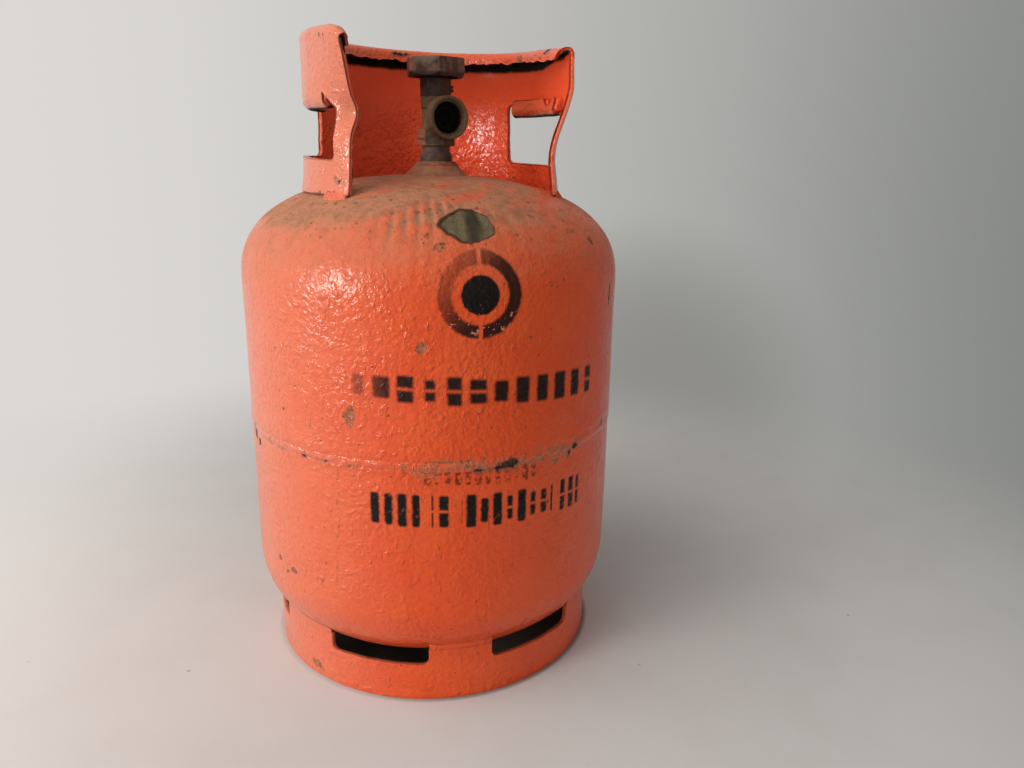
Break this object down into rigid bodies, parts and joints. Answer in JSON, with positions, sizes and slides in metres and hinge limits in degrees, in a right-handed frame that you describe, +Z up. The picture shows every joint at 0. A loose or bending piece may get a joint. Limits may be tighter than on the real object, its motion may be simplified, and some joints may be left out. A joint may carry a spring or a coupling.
{
  "type": "gas cylinder",
  "caption": "Small refillable gas cylinder in worn orange paint, with a notched foot ring, an open guard collar with hand-holes and a hand-wheel valve.",
  "frame": {"origin": "centre of the foot ring's lower edge, on the floor", "axes": "+Z up the cylinder's axis, -Y the way the valve's outlet points, +X to the right seen from the outlet side"},
  "size_m": [0.2514, 0.2514, 0.4085],
  "materials": {
    "shell_paint": "lumpy glossy orange paint, dusty, chipped to rust",
    "weld_paint": "painted weld bead, chipped and rusty",
    "ring_paint": "worn orange paint, dusty, rust at the edges",
    "collar_paint": "glossy orange paint, dimpled inside, dark under the rim",
    "bung_steel": "dusty rusty steel with paint overspray",
    "valve_brass": "tarnished brown brass",
    "spindle_brass": "machined brass",
    "dark_steel": "blackened, rusted steel",
    "wheel_steel": "red-brown rust worn to grey metal, orange overspray",
    "gasket_nylon": "off-white nylon",
    "seal_rubber": "black rubber"
  },
  "bodies": {
    "cylinder": {"upper_shell": "shell_paint", "lower_shell": "shell_paint", "girth_weld": "weld_paint", "foot_ring": "ring_paint", "foot_ring_welds": "weld_paint", "collar": "collar_paint", "collar_welds": "weld_paint", "valve_bung": "bung_steel", "bung_weld": "bung_steel", "valve_body": "valve_brass", "bonnet_nut": "dark_steel", "bonnet_gasket": "gasket_nylon", "bonnet_lock_screw": "dark_steel"},
    "wheel_and_spindle": {"handwheel": "wheel_steel", "wheel_washer": "dark_steel", "wheel_screw": "dark_steel", "spindle": "spindle_brass", "upper_o_ring": "seal_rubber", "lower_o_ring": "seal_rubber"},
    "seat": {"seat_holder": "spindle_brass", "seat_disc": "gasket_nylon"}
  },
  "joints": [
    {"name": "wheel_turn", "type": "hinge", "parent": "cylinder", "child": "wheel_and_spindle", "pos_m": [0.0027, -0.0013, 0.39], "axis": [0, 0, 1], "range_deg": [0, 540]},
    {"name": "seat_lift", "type": "slide", "parent": "wheel_and_spindle", "child": "seat", "axis": [0, 0, 1], "range_m": [0, 0.00225]}
  ],
  "couplings": [
    {"joint": "seat_lift", "follows": "wheel_turn", "m_per_rad": 0.00023873}
  ]
}
